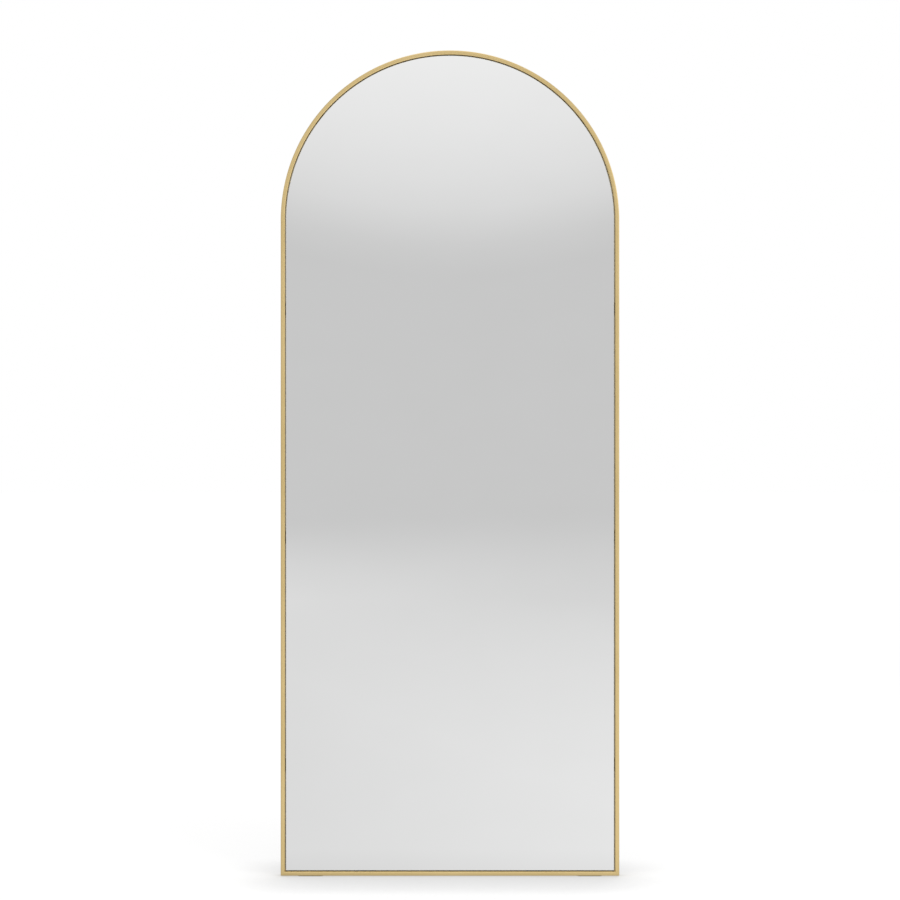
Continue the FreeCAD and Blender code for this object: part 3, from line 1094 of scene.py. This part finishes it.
@dataclass(frozen=True)
class Tabs:
    """Steel tabs welded round the inside of the frame, with the screws that hold the board to them."""

    layout: Layout
    arch_angle: float = math.radians(52)
    leg_count: int = 3
    length: float = 32.0 * MM
    hole_inset: float = 14.0 * MM  # from the frame's inner wall to the screw
    screw_length: float = 9.0 * MM
    weld_spacing: float = 19.0 * MM
    screw_turn: float = math.radians(137.5)  # each screw stops at another angle

    def seats(self) -> list[Matrix]:
        """Where each tab meets the frame: X along the wall, Y to the back and Z out through the wall.

        Returns:
            One matrix for each tab.
        """
        layout = self.layout
        crown = Matrix.Translation((0, layout.tab_back, layout.spring + layout.inner_radius))
        seats = [layout.on_arch(angle) @ crown for angle in (-self.arch_angle, 0.0, self.arch_angle)]
        for side in Side:
            low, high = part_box(f"leg_tabs_{side.label}")
            quarter = Matrix.Rotation(side.value * math.pi / 2, 4, BACK)
            lowest = low.z + self.length / 2
            step = (high.z - low.z - self.length) / (self.leg_count - 1)
            for index in range(self.leg_count):
                wall = (side.value * layout.inner_radius, layout.tab_back, lowest + index * step)
                seats.append(Matrix.Translation(wall) @ quarter)
            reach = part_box("bottom_tabs")[1].x - self.length / 2
            wall = (side.value * reach, layout.tab_back, layout.foot + layout.tube_face)
            seats.append(Matrix.Translation(wall) @ Matrix.Rotation(math.pi, 4, BACK))
        return seats

    def build(self) -> None:
        """Dresses the tabs and builds their welds and screws."""
        dress(SatinGold(), "arch_tabs", "bottom_tabs", "leg_tabs_left", "leg_tabs_right")
        seats = self.seats()
        welds = WeldBead().shape()
        repeat(welds, [seat @ Matrix.Translation(ACROSS * end * self.weld_spacing / 2)
                       for seat in seats for end in (-1, 1)])
        Piece("tab_welds", Slot.GOLD, (SatinGold(),)).finish(welds)
        screws = WoodScrew(self.screw_length).shape()
        upright = Matrix.Rotation(-math.pi / 2, 4, ACROSS)
        inward = Matrix.Translation(-UP * self.hole_inset)
        repeat(screws, [seat @ inward @ upright @ Matrix.Rotation(index * self.screw_turn, 4, UP)
                        for index, seat in enumerate(seats)])
        Piece("tab_screws_driven", Slot.SCREW, (ZincPlating("screw_zinc_bright"),),
              replaced=("tab_screws",)).finish(screws)


# ---------------------------------------------------------------- glass and board
@dataclass(frozen=True)
class MirrorPanel:
    """Silvered glass with ground arrises, its bonding, and the board behind it."""

    layout: Layout
    arris: float = 1.0 * MM
    board_rim: float = 0.4 * MM
    arch_steps: int = 144

    def _arched_sheet(self, foot: Vector, thickness: float, rim: float) -> bmesh.types.BMesh:
        """Makes an upright sheet with an arched top and bevelled rims.

        Args:
            foot: Its lower left corner in front, whose distance from the middle is the arch's radius.
            thickness: From front to back.
            rim: Width of the bevels.

        Returns:
            The sheet's mesh.
        """
        shape = bmesh.new()
        height = self.layout.spring - foot.z
        sweep = Sweep(shape, [shape.verts.new(foot)], foot, UP)
        sweep.run(height).bend(math.pi, -foot.x, BACK, self.arch_steps).run(height)
        front = bmesh.ops.contextual_create(shape, geom=shape.verts[:])["faces"]
        back = verts_of(bmesh.ops.extrude_face_region(shape, geom=front)["geom"])
        bmesh.ops.translate(shape, vec=BACK * thickness, verts=back)
        rims = [e for e in shape.edges if abs(e.verts[0].co.y - e.verts[1].co.y) < rim / 2]
        bmesh.ops.bevel(shape, geom=rims, offset=rim, offset_type="OFFSET", affect="EDGES",
                        segments=1, profile=0.5, material=-1)
        bmesh.ops.recalc_face_normals(shape, faces=shape.faces[:])
        return shape

    def build_glass(self) -> None:
        """The arched glass."""
        layout = self.layout
        foot = Vector((-layout.glass_radius, layout.glass_front, layout.glass_foot))
        shape = self._arched_sheet(foot, layout.glass_back - layout.glass_front, self.arris)
        for face in shape.faces:
            face.material_index = 1
            if abs(face.normal.y) > 0.99:
                face.material_index = 0 if face.normal.y < 0 else 2
        finishes = (Silvering(), GroundEdge(), MirrorBacking())
        Piece("mirror_glass_silvered", Slot.MIRROR, finishes, replaced=("mirror_glass",)).finish(shape)

    def build_board(self) -> None:
        """The board that carries the glass."""
        low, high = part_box("backing_board")
        shape = self._arched_sheet(low, high.y - low.y, self.board_rim)
        Piece("backing_board_sawn", Slot.BOARD, (PaintedBoard(),), replaced=("backing_board",)).finish(shape)

    def build(self) -> None:
        """Builds the glass and the board, and dresses what lies between them."""
        self.build_glass()
        self.build_board()
        dress(FilmSheet(), "safety_film")
        dress(FoamTape(), "foam_tape")
        dress(CuredAdhesive(), "adhesive_beads")


# ---------------------------------------------------------------- hangers
@dataclass(frozen=True)
class Hanger:
    """Folded steel strap with a D ring captive in its fold, and its two screws."""

    layout: Layout
    side: Side
    drop: float = 71.5 * MM  # from the arch's spring down to the ring's axis
    width: float = 16.0 * MM
    sheet: float = 1.2 * MM
    gap: float = 0.04 * MM  # left between the strap's two layers
    loop_radius: float = 2.28 * MM  # to the middle of the sheet
    fold_turn: float = math.radians(28.15)  # by which the loop closes in on the back layer
    throat_radius: float = 1.6 * MM
    end_corner: float = 5.0 * MM
    hole_radius: float = 2.25 * MM
    hole_drops: tuple[float, float] = (27.4 * MM, 41.4 * MM)
    length: float = 49.9 * MM  # from the ring's axis to the strap's end
    screw_length: float = 9.9 * MM
    wire: float = 3.2 * MM
    ring_half_width: float = 11.0 * MM
    ring_corner: float = 2.4 * MM
    ring_leg: float = 6.0 * MM
    ring_rest: float = math.radians(6.016)  # the resting ring's lean off the board
    wire_sides: int = 20
    corner_steps: int = 8
    ring_steps: int = 40
    loop_steps: int = 26
    throat_steps: int = 4
    hole_cuts: int = 5  # of each of a hole's four sides
    edge: float = 0.15 * MM
    first_turn: float = 0.6  # radians at which the driven screws stop
    next_turn: float = 2.1

    @property
    def pivot(self) -> Vector:
        """Middle of the ring's bar.

        Returns:
            The point on the ring's axis.
        """
        low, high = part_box(f"hanger_strap_{self.side.label}")
        rise = self.loop_radius + self.sheet / 2
        return Vector(((low.x + high.x) / 2, self.layout.board_back + rise, self.layout.spring - self.drop))

    def _fold(self, shape: bmesh.types.BMesh) -> None:
        """Folds the strap's middle surface up the board, over the loop and down again.

        Args:
            shape: The shape to add to.
        """
        pivot = self.pivot
        start = pivot - BACK * self.loop_radius - UP * self.length
        across = ACROSS * self.width / 2
        verts = [shape.verts.new(start - across), shape.verts.new(start + across)]
        front_rise = self.sheet - self.loop_radius  # of the front layer, from the ring's axis
        lean = self.loop_radius * math.cos(self.fold_turn)
        curl = self.throat_radius * (1 - math.cos(self.fold_turn))
        slope = (lean - curl - front_rise) / math.sin(self.fold_turn)
        sweep = Sweep(shape, [*verts, shape.edges.new(verts)], start, UP)
        sweep.run(self.length)
        sweep.bend(math.pi + self.fold_turn, self.loop_radius, -ACROSS, self.loop_steps).run(slope)
        sweep.bend(self.fold_turn, self.throat_radius, ACROSS, self.throat_steps)
        sweep.run(self.length - (pivot.z - sweep.point.z))

    def _drill(self, shape: bmesh.types.BMesh) -> None:
        """Opens the screw holes in both layers.

        Args:
            shape: The strap's middle surface.
        """
        pivot = self.pivot
        planes = [(pivot, ACROSS)] + [(pivot - UP * drop, UP) for drop in self.hole_drops]
        for point, normal in planes:
            bmesh.ops.bisect_plane(shape, geom=whole(shape), plane_co=point, plane_no=normal)
        for drop in self.hole_drops:
            axis = pivot - UP * drop
            for rise in (-self.loop_radius, self.sheet - self.loop_radius):
                self._open_hole(shape, axis + BACK * rise)

    def _open_hole(self, shape: bmesh.types.BMesh, middle: Vector) -> None:
        """Widens one vertex of a flat layer to a round hole.

        Args:
            shape: The strap's middle surface.
            middle: The hole's middle, where a vertex lies.
        """
        centre = min(shape.verts, key=lambda vert: (vert.co - middle).length)
        made = bmesh.ops.bevel(shape, geom=[centre], offset=self.hole_radius, offset_type="OFFSET",
                               affect="VERTICES", segments=1, profile=0.5, material=-1)
        edges = made["faces"][0].edges[:]
        bmesh.ops.delete(shape, geom=made["faces"], context="FACES_ONLY")
        bmesh.ops.subdivide_edges(shape, edges=edges, cuts=self.hole_cuts)
        for vert in shape.verts:
            if vert.is_boundary and (vert.co - middle).length < self.hole_radius * 1.01:
                vert.co = middle + (vert.co - middle).normalized() * self.hole_radius

    def build_strap(self) -> None:
        """The strap, folded from one strip of sheet."""
        shape = bmesh.new()
        self._fold(shape)
        self._drill(shape)
        low = self.pivot.z - self.length
        corners = [v for v in shape.verts if len(v.link_edges) == 2 and abs(v.co.z - low) < MM / 100]
        bmesh.ops.bevel(shape, geom=corners, offset=self.end_corner, offset_type="OFFSET", affect="VERTICES",
                        segments=self.corner_steps, profile=0.5, material=-1)
        node = f"hanger_strap_{self.side.label}"
        piece = Piece(f"{node}_folded", Slot.HANGER, (ZincPlating("hanger_zinc_plated"),), replaced=(node,),
                      sheet=self.sheet - self.gap / 2, soften=self.edge)
        piece.finish(shape)

    def build_ring(self) -> None:
        """The D ring, bent from round wire, which swings in the strap's loop."""
        shape = bmesh.new()
        bmesh.ops.create_circle(shape, radius=self.wire / 2, segments=self.wire_sides,
                                matrix=stand(Vector(), BACK, ACROSS))
        straight = self.ring_half_width - self.ring_corner
        leg = self.ring_leg - self.ring_corner
        quarter = math.pi / 2
        sweep = Sweep(shape, whole(shape), Vector(), ACROSS)
        sweep.run(straight).bend(quarter, self.ring_corner, BACK, self.corner_steps).run(leg)
        sweep.bend(math.pi, self.ring_half_width, BACK, self.ring_steps)
        sweep.run(leg).bend(quarter, self.ring_corner, BACK, self.corner_steps).run(straight)
        bmesh.ops.remove_doubles(shape, verts=shape.verts[:], dist=MM / 100)
        place = Matrix.Translation(self.pivot) @ Matrix.Rotation(self.ring_rest, 4, ACROSS)
        bmesh.ops.transform(shape, matrix=place, verts=shape.verts[:])
        node = f"hanger_ring_{self.side.label}"
        Piece(f"{node}_wire", Slot.HANGER, (ZincPlating("hanger_zinc_wire"),), body=f"ring_{self.side.label}",
              replaced=(node,)).finish(shape)

    def screw_places(self) -> list[Matrix]:
        """Where the strap's screws sit, made along Z.

        Returns:
            One matrix for each screw.
        """
        seat = self.pivot + BACK * (1.5 * self.sheet - self.loop_radius)
        upright = Matrix.Rotation(-math.pi / 2, 4, ACROSS)
        places = []
        for index, drop in enumerate(self.hole_drops):
            turn = self.first_turn + self.next_turn * index + self.side.value
            places.append(Matrix.Translation(seat - UP * drop) @ upright @ Matrix.Rotation(turn, 4, UP))
        return places

    def build(self) -> None:
        """Builds the strap and its ring."""
        self.build_strap()
        self.build_ring()


def build_hangers(layout: Layout) -> None:
    """Builds both hangers and their four screws.

    Args:
        layout: The mirror's layout.
    """
    places = []
    for side in Side:
        hanger = Hanger(layout, side)
        hanger.build()
        places += hanger.screw_places()
    screws = WoodScrew(Hanger.screw_length).shape()
    repeat(screws, places)
    Piece("hanger_screws_driven", Slot.SCREW, (ZincPlating("screw_zinc_bright"),),
          replaced=("hanger_screws",)).finish(screws)


# ---------------------------------------------------------------- rubber
@dataclass(frozen=True)
class RubberPad:
    """Moulded pad with round ends or corners and a soft rim, which stands for one node."""

    node: str
    length: float
    width: float
    height: float
    corner: float
    rim: float
    place: Matrix  # its underside's middle, with its height along Z
    corner_steps: int = 8
    rim_steps: int = 4

    def build(self) -> None:
        """Builds the pad."""
        shape = bmesh.new()
        face = rounded_face(shape, self.length, self.width, self.corner, self.corner_steps)
        top = verts_of(bmesh.ops.extrude_face_region(shape, geom=[face])["geom"])
        bmesh.ops.translate(shape, vec=UP * self.height, verts=top)
        rim = [edge for edge in shape.edges if min(v.co.z for v in edge.verts) > self.height / 2]
        bmesh.ops.bevel(shape, geom=rim, offset=self.rim, offset_type="OFFSET", affect="EDGES",
                        segments=self.rim_steps, profile=0.5, material=-1)
        bmesh.ops.transform(shape, matrix=self.place, verts=shape.verts[:])
        Piece(f"{self.node}_moulded", Slot.RUBBER, (Rubber(),), replaced=(self.node,)).finish(shape)


@dataclass(frozen=True)
class RubberSet:
    """Wall bumpers, floor glides and setting blocks."""

    layout: Layout
    bumper_angle: float = math.radians(38)
    bumper_rim: float = 0.9 * MM
    bumper_round: float = 0.999  # of its half width, so that its ends keep a short flat
    glide_corner: float = 6.0 * MM
    glide_rim: float = 0.5 * MM
    block_corner: float = 0.4 * MM
    block_rim: float = 0.3 * MM

    def build_bumpers(self, side: Side) -> None:
        """One side's bumpers, on the arch and low on the leg.

        Args:
            side: The side.
        """
        layout = self.layout
        low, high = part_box(f"wall_bumper_lower_{side.label}")
        width, height, length = high - low
        to_wall = Matrix.Rotation(-math.pi / 2, 4, ACROSS)
        on_leg = Matrix.Translation(((low.x + high.x) / 2, low.y, (low.z + high.z) / 2))
        upright = Matrix.Rotation(math.pi / 2, 4, BACK)
        crown = Matrix.Translation((0, low.y, layout.spring + layout.middle_radius))
        on_arch = layout.on_arch(side.value * self.bumper_angle) @ crown
        for name, place in (("lower", on_leg @ upright @ to_wall), ("upper", on_arch @ to_wall)):
            RubberPad(f"wall_bumper_{name}_{side.label}", length, width, height,
                      width / 2 * self.bumper_round, self.bumper_rim, place).build()

    def build_flat(self, node: str, corner: float, rim: float, hangs: bool) -> None:
        """A pad that fills its node's box and lies flat.

        Args:
            node: The node that it stands for.
            corner: Radius of its corners.
            rim: Radius of its soft rim.
            hangs: Whether it hangs under the frame, and so has its soft rim below.
        """
        low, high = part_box(node)
        middle = (low + high) / 2
        place = Matrix.Translation((middle.x, middle.y, high.z if hangs else low.z))
        if hangs:
            place @= Matrix.Rotation(math.pi, 4, ACROSS)
        RubberPad(node, *(high - low), corner, rim, place).build()

    def build(self) -> None:
        """Builds all the rubber."""
        for side in Side:
            self.build_bumpers(side)
            self.build_flat(f"floor_glide_{side.label}", self.glide_corner, self.glide_rim, True)
            self.build_flat(f"setting_block_{side.label}", self.block_corner, self.block_rim, False)


# ---------------------------------------------------------------- studio
def srgb(level: float) -> float:
    """Linear light of an 8-bit grey level."""
    share = level / 255
    return share / 12.92 if share <= 0.04045 else ((share + 0.055) / 1.055) ** 2.4


@dataclass(frozen=True)
class Lamp:
    """A soft square lamp that looks at a point."""

    name: str
    place: Vector
    size: float
    power: float
    target: Vector = Vector((0, 0, 1.0))

    def build(self) -> None:
        """Adds the lamp, unseen by the mirror itself."""
        light = bpy.data.lights.new(self.name, "AREA")
        light.size = self.size
        light.energy = self.power
        lamp = bpy.data.objects.new(self.name, light)
        lamp.location = self.place
        lamp.rotation_euler = (self.target - self.place).to_track_quat("-Z", "Y").to_euler()
        lamp.visible_glossy = False
        bpy.context.scene.collection.objects.link(lamp)


@dataclass(frozen=True)
class RoomTones:
    """What polished things see of the room: its levels, as light, and where they change."""

    mirror_share: float = 0.93  # of the light that the silvering gives back
    wall: float = srgb(199)
    near_floor: float = 0.745
    floor_start: float = 2.4  # metres out, where the floor starts to fade
    floor_fade: float = 14.0
    floor_slant: float = 2.9  # the fade runs aslant, nearer on the right
    edge_start: float = 10.0  # where the floor's soft far edge starts
    edge_width: float = 20.0
    edge_slant: float = -1.1
    side_gain: float = 0.105  # brighter towards the right, for each metre
    side_reach: float = 9.2
    side_width: float = 1.5  # to each side of the middle
    painted_foot_shadows: tuple[Range, ...] = ((0.08, 0.70), (0.35, 0.94))  # reach and level of the painted shadow on the floor before the foot, as polished things see it
    ceiling_curve: float = 1.9  # the bright ceiling comes lower in the middle
    ceiling_drop: float = 0.02  # by which it comes lower at most
    cove: tuple[Range, ...] = ((0.083, 199), (0.096, 204), (0.113, 216), (0.13, 223), (0.15, 229),
                               (0.19, 237), (0.24, 240))
    overhead: tuple[Range, ...] = ((0.40, 205), (0.78, 200), (0.93, 275))
    left_share: float = 0.85  # of the room far to the left, against the middle
    left_span: Range = (-0.85, -0.28)  # a ray's X, from full shade to none
    right_share: float = 1.4
    right_span: Range = (0.45, 0.9)
    far_floor: Range = (1.5, 3.0)  # metres out, over which the floor takes on the room's sides

    @property
    def ceiling(self) -> list[tuple[float, Colour]]:
        """Stops from the wall over the cove to the ceiling, by a ray's height."""
        return [(place, (srgb(level) / self.mirror_share,) * 3) for place, level in self.cove + self.overhead]


@dataclass(frozen=True)
class Studio:
    """White room with a pale floor, soft lamps and a square-on camera."""

    layout: Layout
    tones: RoomTones = RoomTones()
    camera_distance: float = 5.0
    camera_height: float = 1.0073
    view_width: float = 2.12546  # of the picture, at the mirror's face
    sensor: float = 36.0
    floor_radius: float = 45.0
    floor_sides: int = 96
    ambient: float = 0.72  # light of the room on everything that isn't polished
    floor_colour: Colour = (0.45, 0.45, 0.45)
    lift_near: float = 0.635  # light added to the floor as the camera sees it
    lift_far: float = 0.70
    lift_reach: Range = (2.0, 7.0)
    # The floor's contact shadow is painted: ambient occlusion darkens the floor's colour and its added light
    # near the object.
    painted_contact_reach: float = 0.22  # how far the painted contact shadow spreads
    painted_contact_shade: float = 0.34
    painted_contact_curve: float = 0.5
    painted_contact_samples: int = 16
    lamps: tuple[Lamp, ...] = (
        Lamp("key", Vector((2.6, -3.0, 3.0)), 2.4, 45),
        Lamp("fill", Vector((-3.0, -2.4, 2.2)), 2.6, 24),
        Lamp("rear", Vector((0.8, 3.2, 3.0)), 2.6, 26),
    )

    def build_camera(self) -> None:
        """Adds the camera at the picture's viewing angle."""
        data = bpy.data.cameras.new("camera")
        data.sensor_width = self.sensor
        data.lens = self.sensor * self.camera_distance / self.view_width
        camera = bpy.data.objects.new("camera", data)
        camera.location = (0, self.layout.front - self.camera_distance, self.camera_height)
        camera.rotation_euler = (math.pi / 2, 0, 0)
        bpy.context.scene.collection.objects.link(camera)
        bpy.context.scene.camera = camera

    def _side_share(self, graph: Graph, direction: bpy.types.NodeSocket) -> bpy.types.NodeSocket:
        """How much brighter or darker the room is to one side.

        Args:
            graph: The graph to add to.
            direction: Unit vector from the mirror.

        Returns:
            The factor's socket.
        """
        tones = self.tones
        side = graph.node("ShaderNodeSeparateXYZ", {"Vector": direction}).outputs["X"]
        left = graph.spread(side, tones.left_span, (tones.left_share, 1), smooth=True)
        right = graph.spread(side, tones.right_span, (1, tones.right_share), smooth=True)
        return graph.product(left, right)

    def _room_tone(self, graph: Graph, direction: bpy.types.NodeSocket) -> bpy.types.NodeSocket:
        """What polished things see of the room above the floor.

        Args:
            graph: The world's graph.
            direction: The ray's direction.

        Returns:
            The tone's colour socket.
        """
        parts = graph.node("ShaderNodeSeparateXYZ", {"Vector": direction}).outputs
        drop = graph.product(parts["X"], parts["X"], self.tones.ceiling_curve)
        height = graph.maths("SUBTRACT", parts["Z"], graph.maths("MINIMUM", drop, self.tones.ceiling_drop))
        room = graph.ramp(height, self.tones.ceiling)
        share = self._side_share(graph, direction)
        grey = graph.node("ShaderNodeCombineColor", dict.fromkeys(("Red", "Green", "Blue"), share))
        return graph.blend(1.0, room, grey.outputs["Color"], "MULTIPLY")

    def build_world(self) -> None:
        """White behind the object, even light on it, and a graded room in its reflections."""
        world = bpy.data.worlds.new("studio")
        world.use_nodes = True
        bpy.context.scene.world = world
        graph = Graph(world.node_tree)
        direction = graph.node("ShaderNodeTexCoord").outputs["Generated"]
        path = graph.node("ShaderNodeLightPath").outputs
        unseen = graph.blend(path["Is Glossy Ray"], (self.ambient,) * 3, self._room_tone(graph, direction))
        seen = graph.maths("MAXIMUM", path["Is Camera Ray"], path["Is Transmission Ray"])
        graph.link(graph.blend(seen, unseen, (1.0, 1.0, 1.0)), world.node_tree.nodes["Background"], "Color")

    def build_floor(self) -> None:
        """Pale floor that keeps the object's shadow, is darkened near the object by a painted contact shadow
        from ambient occlusion, and clips to white elsewhere.
        """
        shape = bmesh.new()
        bmesh.ops.create_circle(shape, cap_ends=True, radius=self.floor_radius, segments=self.floor_sides)
        mesh = bpy.data.meshes.new("floor")
        shape.to_mesh(mesh)
        shape.free()
        floor = bpy.data.objects.new("floor", mesh)
        bpy.context.scene.collection.objects.link(floor)
        material = bpy.data.materials.new("pale_floor")
        material.use_nodes = True
        mesh.materials.append(material)
        graph = Graph(material.node_tree)
        material.node_tree.nodes.remove(material.node_tree.nodes["Principled BSDF"])
        place = graph.node("ShaderNodeTexCoord").outputs["Object"]
        path = graph.node("ShaderNodeLightPath").outputs
        seen = graph.maths("MAXIMUM", path["Is Camera Ray"], path["Is Transmission Ray"])
        # Painted contact shadow: ambient occlusion near the object darkens the floor's paint and its added
        # light.
        clear = graph.node("ShaderNodeAmbientOcclusion", {"Distance": self.painted_contact_reach},
                           samples=self.painted_contact_samples).outputs["AO"]
        shut = graph.maths("POWER", graph.maths("SUBTRACT", 1, clear), self.painted_contact_curve)
        share = graph.spread(shut, (0, 1), (1, 1 - self.painted_contact_shade))
        colour_with_painted_shadow = graph.blend(share, (0.0, 0.0, 0.0), self.floor_colour)
        paint = graph.node("ShaderNodeBsdfDiffuse", {"Color": colour_with_painted_shadow})
        out = graph.node("ShaderNodeVectorMath", {0: place}, operation="LENGTH").outputs["Value"]
        level = graph.spread(out, self.lift_reach, (self.lift_near, self.lift_far), smooth=True)
        # The added light is dimmed by the same painted contact shadow.
        lift = graph.node("ShaderNodeEmission", {"Strength": graph.product(seen, level, share)})
        lit = graph.node("ShaderNodeAddShader", {0: paint.outputs[0], 1: lift.outputs[0]})
        tone = graph.node("ShaderNodeEmission", {"Strength": self._floor_tone(graph, place)})
        ways = {0: path["Is Glossy Ray"], 1: lit.outputs[0], 2: tone.outputs[0]}
        mix = graph.node("ShaderNodeMixShader", ways)
        graph.link(mix.outputs[0], material.node_tree.nodes["Material Output"], "Surface")

    def _floor_tone(self, graph: Graph, place: bpy.types.NodeSocket) -> bpy.types.NodeSocket:
        """What polished things see of the floor, which fades into the room's wall along a slanted edge and
        carries a painted shadow before the mirror's foot.

        Args:
            graph: The floor's graph.
            place: The point's coordinates.

        Returns:
            The tone's socket.
        """
        tones = self.tones
        wall = tones.wall / tones.mirror_share
        near = tones.near_floor / tones.mirror_share
        parts = graph.node("ShaderNodeSeparateXYZ", {"Vector": place}).outputs
        x = parts["X"]
        away = graph.product(parts["Y"], -1)
        slanted = graph.maths("MULTIPLY_ADD", x, tones.floor_slant, away)
        late = graph.maths("MAXIMUM", graph.maths("SUBTRACT", slanted, tones.floor_start), 0)
        fade = graph.maths("EXPONENT", graph.maths("DIVIDE", late, -tones.floor_fade))
        edge_place = graph.maths("MULTIPLY_ADD", x, tones.edge_slant, away)
        edge_span = (tones.edge_start, tones.edge_start + tones.edge_width)
        edge = graph.spread(edge_place, edge_span, (1, 0), smooth=True)
        reach = graph.spread(away, (0, tones.side_reach), (tones.side_gain, 0))
        held = graph.maths("MINIMUM", graph.maths("MAXIMUM", x, -tones.side_width), tones.side_width)
        rise = graph.maths("ADD", graph.product(fade, edge, near - wall), graph.product(held, reach))
        # Painted shadow: the floor that polished things see is darkened before the mirror's foot.
        painted_foot_shade_levels = [graph.spread(away, (0, width), (level, 1)) for width, level in tones.painted_foot_shadows]
        direction = graph.node("ShaderNodeVectorMath", {0: place}, operation="NORMALIZE").outputs["Vector"]
        change = graph.maths("SUBTRACT", self._side_share(graph, direction), 1)
        share = graph.maths("MULTIPLY_ADD", change, graph.spread(away, tones.far_floor, (0, 1)), 1)
        return graph.product(graph.maths("ADD", rise, wall), *painted_foot_shade_levels, share)

    def build(self) -> None:
        """Builds the room, its lamps and the camera."""
        self.build_camera()
        self.build_world()
        self.build_floor()
        for lamp in self.lamps:
            lamp.build()
        bpy.context.scene.view_settings.view_transform = "Standard"


def main() -> None:
    """Builds every sub-assembly and the studio round it."""
    logging.basicConfig(level=logging.INFO, format="%(name)s: %(message)s")
    layout = Layout.from_frame()
    TubeFrame(layout).build()
    Tabs(layout).build()
    MirrorPanel(layout).build()
    build_hangers(layout)
    RubberSet(layout).build()
    Studio(layout).build()


if __name__ == "__main__":
    main()
